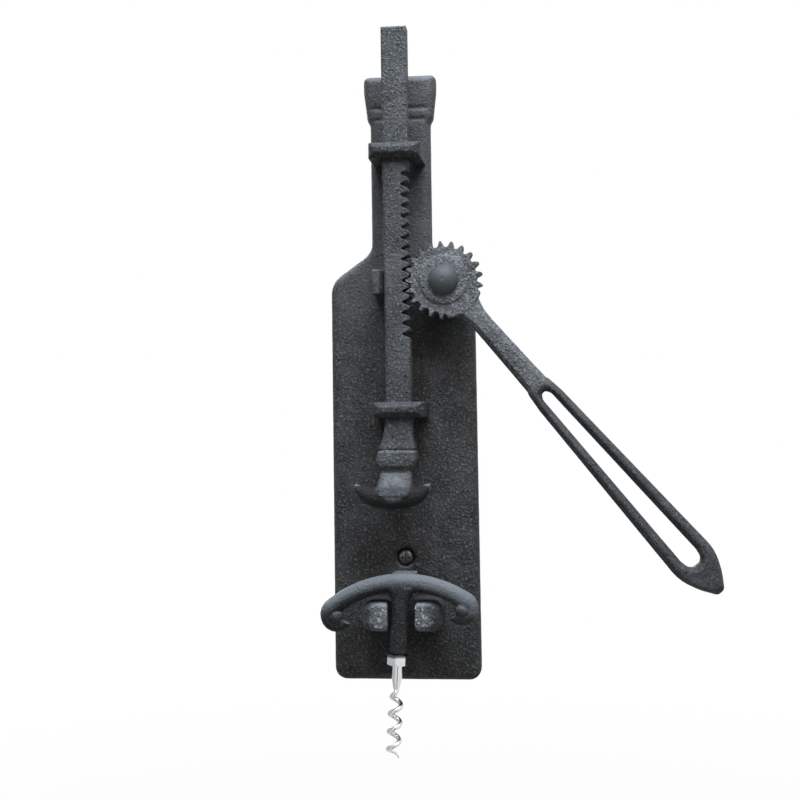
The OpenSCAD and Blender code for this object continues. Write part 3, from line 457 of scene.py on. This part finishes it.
def dress(carrier, tree, values):
    """Puts a tree on an object, with its inputs set by their sockets' identifiers."""
    modifier = carrier.modifiers.new(tree.name, "NODES")
    modifier.node_group = tree
    for item in tree.interface.items_tree:
        if item.in_out == "INPUT" and item.name in values:
            modifier[item.identifier] = values[item.name]


# Meshes

MERGE_DIST = 0.002 * MM


def mesh_of(name, bm):
    """Plain mesh of a bmesh, which is freed."""
    mesh = bpy.data.meshes.new(name)
    bm.to_mesh(mesh)
    bm.free()
    return mesh


def carrier_of(name, bm):
    """Object that holds a mesh while modifiers work on it; the bmesh is freed."""
    carrier = bpy.data.objects.new(name, mesh_of(name, bm))
    bpy.context.scene.collection.objects.link(carrier)
    return carrier


def settled(carrier):
    """Plain mesh of an object with its modifiers worked in; the object is removed."""
    graph = bpy.context.evaluated_depsgraph_get()
    mesh = bpy.data.meshes.new_from_object(carrier.evaluated_get(graph))
    bpy.data.objects.remove(carrier)
    return mesh


def smoothed(mesh, sharp_deg):
    """The mesh, shaded smooth but for edges that turn by more than sharp_deg."""
    mesh.shade_smooth()
    mesh.set_sharp_from_angle(angle=math.radians(sharp_deg))
    return mesh


def node_copy(node):
    """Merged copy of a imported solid."""
    bm = bmesh.new()
    bm.from_mesh(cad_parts[node].data)
    bmesh.ops.remove_doubles(bm, verts=bm.verts, dist=MERGE_DIST)
    return bm


def lathe(profile, steps=72):
    """Solid turned about z from (radius, height) points in mm that start and end on the axis."""
    bm = bmesh.new()
    rings = []
    for radius, height in profile:
        turns = steps if radius > 0 else 1
        rings.append([bm.verts.new((radius * MM * math.cos(math.tau * i / steps),
                                    radius * MM * math.sin(math.tau * i / steps), height * MM))
                      for i in range(turns)])
    for low, high in zip(rings, rings[1:]):
        for i in range(steps):
            j = (i + 1) % steps
            face = [low[i % len(low)], low[j % len(low)], high[j % len(high)], high[i % len(high)]]
            bm.faces.new(list(dict.fromkeys(face)))
    bmesh.ops.recalc_face_normals(bm, faces=bm.faces)
    return bm


def piece(name, mesh, body, node, finish):
    """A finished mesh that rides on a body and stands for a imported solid."""
    mesh.materials.clear()
    mesh.materials.append(finish)
    made = bpy.data.objects.new(name, mesh)
    bpy.context.scene.collection.objects.link(made)
    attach(made, body)
    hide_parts(node)
    return made


# Castings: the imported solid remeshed, its edges softened, and its skin roughened

CAST_SKIN = cast_skin_tree()
LUMP_SIZE = 7.0 * MM
SAND_SIZE = 1.6 * MM
SOFTEN_FACTOR = 0.5
BACK_DEPTH = 0.05 * MM
WALL_SLANT = 0.2
CORE_HALF_WIDTH = 12.0 * MM
CORE_HALF_HEIGHT = 175.0 * MM


def at_back(bm):
    """Vertices on the plane at the back of a casting."""
    back = max(vert.co.y for vert in bm.verts) - BACK_DEPTH
    return [vert for vert in bm.verts if vert.co.y > back]


def faces_out(normal, place):
    """True for a side wall that faces away from the plate's middle."""
    if abs(normal.y) > WALL_SLANT:
        return False
    axis = 0 if abs(normal.x) > abs(normal.z) else 2
    return normal[axis] * place[axis] > 0


def ease_back(bm, cut):
    """Cuts the outer edge of a flat back at 45 degrees; the core round the middle line is left.

    The even mesh would turn a sharp edge there to steps.
    """
    back = max(vert.co.y for vert in bm.verts)
    bmesh.ops.bisect_plane(bm, geom=bm.verts[:] + bm.edges[:] + bm.faces[:],
                           plane_co=(0.0, back - cut, 0.0), plane_no=(0.0, 1.0, 0.0))
    bm.normal_update()
    moves = {}
    for vert in at_back(bm):
        walls = [face.normal for face in vert.link_faces if faces_out(face.normal, vert.co)]
        if walls and (abs(vert.co.x) > CORE_HALF_WIDTH or abs(vert.co.z) > CORE_HALF_HEIGHT):
            moves[vert] = sum(walls, Vector()).normalized() * -cut
    for vert, move in moves.items():
        vert.co += move


def casting(node, body, finish, seed, voxel_mm=0.5, soften=2, lump_mm=0.22, sand_mm=0.12,
            seat_mm=0.0, ease_mm=0.0):
    """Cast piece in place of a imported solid.

    voxel_mm is the step of its even mesh, and soften the rounds of smoothing.
    lump_mm and sand_mm are the depths of its lumps and sand marks.
    seat_mm is how far the back reaches into the plate, so that softening opens no gap behind it.
    ease_mm is how much is cut off the outer edge of the back.
    """
    bm = node_copy(node)
    if ease_mm:
        ease_back(bm, ease_mm * MM)
    for vert in at_back(bm):
        vert.co.y += seat_mm * MM
    carrier = carrier_of(node + "_skin", bm)
    remesh = carrier.modifiers.new("even mesh", "REMESH")
    remesh.mode = "VOXEL"
    remesh.voxel_size = voxel_mm * MM
    smooth = carrier.modifiers.new("soft edges", "SMOOTH")
    smooth.factor = SOFTEN_FACTOR
    smooth.iterations = soften
    dress(carrier, CAST_SKIN, {
        "Lump Size": LUMP_SIZE, "Lump Depth": lump_mm * MM,
        "Sand Size": SAND_SIZE, "Sand Depth": sand_mm * MM, "Seed": seed, "Finish": finish})
    return piece(node + "_casting", settled(carrier), body, node, finish)


PIVOT = Vector((27.5, 0.0, 56.4)) * MM
CLAW_MIDDLE = Vector((-3.1, -44.0, -64.5)) * MM
CLAW_BOWL = (Vector((-3.1, 0.0, -61.5)) * MM, 11.0 * MM, 9.5 * MM, -58.5 * MM)
HORN_TIPS = (Vector((-26.5, -39.0, -63.0)) * MM, Vector((17.5, -39.0, -63.0)) * MM)
ARCH_CENTRE = Vector((-2.5, 0.0, -187.5)) * MM
KNOBS = (Vector((35.6, -38.5, -136.5)) * MM, Vector((-38.75, -38.5, -140.4)) * MM)
PRONG_NOSE = (-41.0 * MM, -34.0 * MM, 13.0 * MM, 22.0 * MM, -120.0 * MM)
RUBBED_CLAW = [(CLAW_MIDDLE, 9.0 * MM, 0.12)] + [(tip, 3.5 * MM, 0.35) for tip in HORN_TIPS]
RUBBED_KNOBS = [(knob, 4.5 * MM, 0.12) for knob in KNOBS]

# The irons are one black paint whose greys differ piece by piece as painted light and shade: fork, lever
# and rack lighter, handle and guides darker.
plate_iron = cast_iron("plate_cast_black", 0.031, 0.056, top_light=(-10.0 * MM, 90.0 * MM), cool=-0.03)
guide_iron = cast_iron("guide_cast_black", 0.026, 0.046, 0.14, dust_and_top_light=0.1)
lever_iron = cast_iron("lever_cast_black", 0.075, 0.125, 0.28,
                       grip=(PIVOT, 80.0 * MM, 92.0 * MM), dust_and_top_light=0.0)
handle_iron = cast_iron("handle_cast_black", 0.016, 0.03, 0.075, RUBBED_KNOBS,
                        crest=(ARCH_CENTRE, 62.5 * MM, 69.0 * MM))
rack_iron = cast_iron("rack_cast_black", 0.046, 0.078, 0.19, RUBBED_CLAW, bowl=CLAW_BOWL, dust_and_top_light=0.25)
fork_iron = cast_iron("fork_cast_black", 0.11, 0.21, 0.68, nose=PRONG_NOSE)

casting("backplate", "plate", plate_iron, seed=1.0, voxel_mm=0.95, soften=3,
        lump_mm=0.2, sand_mm=0.1, ease_mm=1.2)
casting("bottle_fork", "plate", fork_iron, seed=2.0, voxel_mm=0.6, soften=14,
        lump_mm=0.5, sand_mm=0.3, seat_mm=1.5)
casting("upper_guide", "plate", guide_iron, seed=3.0, soften=4, seat_mm=1.2)
casting("lower_guide", "plate", guide_iron, seed=4.0, soften=4, seat_mm=1.2)
casting("rack_bar", "rack", rack_iron, seed=5.0, soften=1, lump_mm=0.16, sand_mm=0.08)
casting("gear_lever", "lever", lever_iron, seed=6.0, soften=3, lump_mm=0.14, sand_mm=0.08)
casting("corkscrew_handle", "corkscrew", handle_iron, seed=7.0, soften=3)

# Pivot bolt: domed head with a centre mark, and its plain shank

enamel = satin_black("smooth_black_enamel")
STAND = Matrix.Rotation(math.radians(90), 4, "X")


def pivot_bolt():
    seat, rise, rim, ball, lip = 39.6, 6.0, 8.9, 9.6, 0.3
    shank, foot, chamfer = 4.0, 1.4, 0.5
    mark_r, mark_depth = 1.3, 0.3
    steps, sharp_deg = 24, 40
    edge = math.asin(rim / ball)
    crown = []
    for i in range(steps + 1):
        turn = edge * i / steps
        radius = ball * math.sin(turn)
        dip = mark_depth * max(0.0, 1 - (radius / mark_r) ** 2)
        crown.append((radius, seat + rise - ball * (1 - math.cos(turn)) - dip))
    stem = [(rim - lip, seat), (shank, seat), (shank, foot + chamfer), (shank - chamfer, foot),
            (0.0, foot)]
    bm = lathe(crown + stem)
    bm.transform(Matrix.Translation(PIVOT) @ STAND)
    mesh = smoothed(mesh_of("pivot_bolt_turned", bm), sharp_deg)
    piece("pivot_bolt_turned", mesh, "plate", "pivot_bolt", enamel)


pivot_bolt()

# Corkscrew: a bright nut, and the shank that runs into the worm

bright = plated_steel("bright_plated_steel")
DARK_BAND_DEPTH = 2.2 * MM
NUT_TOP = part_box("corkscrew_nut")[1][2]
nut_steel = plated_steel("nut_plated_steel", dark_band_above=NUT_TOP - DARK_BAND_DEPTH)
WOUND_WIRE = wound_wire_tree()
STEM_TOP = Vector((0.0, -37.0, -120.52)) * MM
STEM_LEAN = math.radians(3.5)
STEM = Matrix.Translation(STEM_TOP) @ Matrix.Rotation(STEM_LEAN, 4, "Y")
WORM = {"turns": 4.0, "pitch": 10.4, "outer_d": 9.2, "wire_d": 2.9, "run_in": 0.75,
        "point_rate": 1.6, "rings": 256}


def corkscrew_nut():
    turn, soft_mm, soft_from, sharp_deg = math.radians(20), 0.3, math.radians(25), 35
    bm = node_copy("corkscrew_nut")
    bm.transform(STEM @ Matrix.Rotation(turn, 4, "Z") @ STEM.inverted())
    carrier = carrier_of("corkscrew_nut_bright", bm)
    soft = carrier.modifiers.new("soft edges", "BEVEL")
    soft.width = soft_mm * MM
    soft.segments = 2
    soft.angle_limit = soft_from
    mesh = smoothed(settled(carrier), sharp_deg)
    piece("corkscrew_nut_bright", mesh, "corkscrew", "corkscrew_nut", nut_steel)


def corkscrew_worm():
    shank, shank_top, shank_foot, taper, chamfer, sharp_deg = 3.0, -28.0, -63.5, 7.0, 0.5, 45
    wire = WORM["wire_d"] / 2
    coil = carrier_of("worm_coil", bmesh.new())
    dress(coil, WOUND_WIRE, {
        "Turns": WORM["turns"], "Pitch": WORM["pitch"] * MM, "Wire Radius": wire * MM,
        "Coil Radius": (WORM["outer_d"] / 2 - wire) * MM, "Run In": WORM["run_in"],
        "Point Rate": WORM["point_rate"], "Rings": WORM["rings"], "Finish": bright})
    bm = bmesh.new()
    bm.from_mesh(settled(coil))
    bm.transform(Matrix.Translation((0.0, 0.0, (shank_foot + wire) * MM)))
    rod = lathe([(0.0, shank_top), (shank - chamfer, shank_top), (shank, shank_top - chamfer),
                 (shank, shank_foot + taper), (wire + 0.5, shank_foot + 0.2 * taper),
                 (wire, shank_foot), (0.0, shank_foot - 0.4)])
    bm.from_mesh(mesh_of("shank", rod))
    bm.transform(STEM)
    mesh = smoothed(mesh_of("worm", bm), sharp_deg)
    piece("corkscrew_worm_bright", mesh, "corkscrew", "corkscrew_worm", bright)


corkscrew_nut()
corkscrew_worm()

# Wall screws: cross-head, shank and thread, in a row of two

zinc = zinc_plate("dull_zinc_plate")
blued = zinc_plate("dark_zinc_plate", 0.045, 0.14)
SCREW_ROW = screw_row_tree()
SCREW = {"head_d": 9.2, "head_h": 3.0, "seat": 8.4, "shank_d": 4.2, "core_d": 3.8,
         "thread_d": 4.8, "length": 30.0, "point": 6.0}
THREAD = {"top": -1.0, "pitch": 2.0, "turns": 12.0, "run_in": 0.5, "point_rate": 0.6, "rings": 240}
LOWER_SCREW = Vector((0.0, 0.0, -109.0)) * MM
SCREW_STEP = Vector((0.0, 0.0, 256.0)) * MM


def cross_cutter(top, depth, arm, width):
    """Tapering cross that cuts the recess in a screw's head, in mm."""
    above, taper = 0.5, 0.55
    bm = bmesh.new()
    half = width / 2
    corners = []
    for quarter in range(4):
        turn = Matrix.Rotation(quarter * math.pi / 2, 3, "Z")
        corners += [turn @ Vector(corner) for corner in ((arm, -half, 0), (arm, half, 0), (half, half, 0))]
    upper = [bm.verts.new((c + Vector((0, 0, top + above))) * MM) for c in corners]
    lower = [bm.verts.new((c * taper + Vector((0, 0, top - depth))) * MM) for c in corners]
    bm.faces.new(upper)
    bm.faces.new(lower)
    for i, corner in enumerate(upper):
        j = (i + 1) % len(upper)
        bm.faces.new((corner, upper[j], lower[j], lower[i]))
    bmesh.ops.recalc_face_normals(bm, faces=bm.faces)
    return bm


def wall_screws():
    steps, chamfer, sharp_deg = 48, 0.2, 30
    seat, tip = SCREW["seat"], -SCREW["length"]
    head_r, top = SCREW["head_d"] / 2, seat + SCREW["head_h"]
    shank, core = SCREW["shank_d"] / 2, SCREW["core_d"] / 2
    wire = SCREW["thread_d"] / 2 - core
    crown = [(0.0, top), (1.8, top - 0.05), (3.2, top - 0.3), (4.1, top - 0.8), (head_r, top - 1.5)]
    body = [(head_r, seat + chamfer), (head_r - chamfer, seat), (shank, seat), (shank, 0.0),
            (core, THREAD["top"]), (core, tip + SCREW["point"]), (0.0, tip)]
    carrier = carrier_of("screw", lathe(crown + body, steps))
    cutter = carrier_of("cross", cross_cutter(top, depth=1.9, arm=2.7, width=1.15))
    cut = carrier.modifiers.new("cross", "BOOLEAN")
    cut.operation = "DIFFERENCE"
    cut.solver = "EXACT"
    cut.object = cutter
    bm = bmesh.new()
    bm.from_mesh(settled(carrier))
    bpy.data.objects.remove(cutter)
    coil = carrier_of("thread", bmesh.new())
    dress(coil, WOUND_WIRE, {
        "Turns": THREAD["turns"], "Pitch": THREAD["pitch"] * MM, "Coil Radius": core * MM,
        "Wire Radius": wire * MM, "Point Rate": THREAD["point_rate"], "Run In": THREAD["run_in"],
        "Rings": THREAD["rings"], "Finish": blued})
    thread = settled(coil)
    thread.transform(Matrix.Translation((0.0, 0.0, THREAD["top"] * MM)))
    bm.from_mesh(thread)
    bm.transform(STAND)
    row = carrier_of("screw_row", bm)
    dress(row, SCREW_ROW, {"Count": 2, "Start": LOWER_SCREW, "Step": SCREW_STEP, "Finish": blued})
    mesh = smoothed(settled(row), sharp_deg)
    piece("wall_screws_zinc", mesh, "plate", "wall_screws", blued)


wall_screws()

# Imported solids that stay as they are, behind the hub and in the hollow back

KEPT_SOLIDS = ("casting_screws", "casting_washers", "pivot_bush", "thrust_washer",
               "pivot_lock_washer", "pivot_nut")
for node in KEPT_SOLIDS:
    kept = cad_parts[node]
    kept.data.materials.clear()
    kept.data.materials.append(zinc)


# Stage: a white surround, a pale floor that keeps a shadow, and soft light from above

WHITE = grey(1.0)
SURROUND_LIGHT = grey(0.05)


def seen_share(board):
    """1 for rays that show the surround itself: to the camera, in gloss and through glass."""
    seen = 0.0
    for label in ("Is Camera Ray", "Is Glossy Ray", "Is Transmission Ray"):
        seen = board.add("ShaderNodeLightPath", out=label) + seen
    return seen.least(1.0)


def pale_surround():
    world = bpy.data.worlds.new("pale_surround")
    bpy.context.scene.world = world
    world.use_nodes = True
    world.node_tree.nodes.clear()
    board = Board(world.node_tree)
    tone = board.mix(seen_share(board), SURROUND_LIGHT, WHITE)
    glow = board.add("ShaderNodeBackground", {}, {"Color": tone})
    board.add("ShaderNodeOutputWorld", {}, {"Surface": glow})


def pale_floor():
    """Floor that shows nearly white, with a trace of shadow below the part."""
    half, height, mottle_size = 3.0, -0.36, 0.4
    shadow, shadow_inner, shadow_outer = 0.04, 0.25, 0.8
    middle = (0.0, 0.0, height)
    bm = bmesh.new()
    bmesh.ops.create_grid(bm, x_segments=1, y_segments=1, size=half)
    bm.transform(Matrix.Translation(middle))
    floor = carrier_of("pale_floor", bm)
    material, board, where = new_finish("pale_floor_paint")
    mottle = board.noise(where, mottle_size, detail=2.0)
    paint = board.mix(mottle, grey(0.22), grey(0.26))
    reach = board.reach(where, middle)
    white_share = (1 - shadow) + shadow * reach.between(shadow_inner, shadow_outer)
    matt = board.add("ShaderNodeBsdfDiffuse", {}, {"Color": paint})
    white = board.add("ShaderNodeEmission", {}, {"Color": WHITE})
    shown = board.add("ShaderNodeMixShader", {}, {0: white_share * seen_share(board), 1: matt, 2: white})
    board.add("ShaderNodeOutputMaterial", {}, {"Surface": shown})
    floor.data.materials.append(material)


def soft_lamp(name, place, aim, size, watts, colour):
    light = bpy.data.lights.new(name, "AREA")
    light.shape = "RECTANGLE"
    light.size, light.size_y = size
    light.energy = watts
    light.color = colour
    lamp = bpy.data.objects.new(name, light)
    lamp.location = place
    lamp.rotation_euler = (Vector(aim) - Vector(place)).to_track_quat("-Z", "Y").to_euler()
    bpy.context.scene.collection.objects.link(lamp)


def front_camera():
    """Camera of the photograph: level, a little from the right, and turned slightly about its own line."""
    side, roll, distance = math.radians(6.5), math.radians(0.85), 0.8
    lens_mm, sensor_mm = 59.4, 36.0
    aim = Vector((-2.0, -12.0, -13.5)) * MM
    away = Vector((math.sin(side), -math.cos(side), 0.0))
    right = Vector((math.cos(side), math.sin(side), 0.0))
    up = Vector((0.0, 0.0, 1.0))
    turned_right = right * math.cos(roll) - up * math.sin(roll)
    turned_up = up * math.cos(roll) + right * math.sin(roll)
    lens = bpy.data.cameras.new("front_camera")
    lens.lens = lens_mm
    lens.sensor_width = sensor_mm
    camera = bpy.data.objects.new("front_camera", lens)
    turn = Matrix((turned_right, turned_up, away)).transposed().to_4x4()
    camera.matrix_world = Matrix.Translation(aim + away * distance) @ turn
    bpy.context.scene.collection.objects.link(camera)
    bpy.context.scene.camera = camera


pale_surround()
pale_floor()
soft_lamp("sky_panel", place=(0.14, -0.45, 0.85), aim=(0.0, -0.02, 0.0),
          size=(0.9, 0.7), watts=27.0, colour=(0.84, 0.91, 1.0))
soft_lamp("front_panel", place=(0.2, -1.0, 0.4), aim=(0.0, -0.02, 0.03),
          size=(0.5, 0.5), watts=1.2, colour=(1.0, 0.93, 0.84))
soft_lamp("back_panel", place=(-0.35, 0.9, 0.45), aim=(0.0, 0.0, 0.0),
          size=(0.6, 0.6), watts=9.0, colour=(1.0, 1.0, 1.0))
front_camera()
bpy.context.scene.view_settings.view_transform = "Standard"
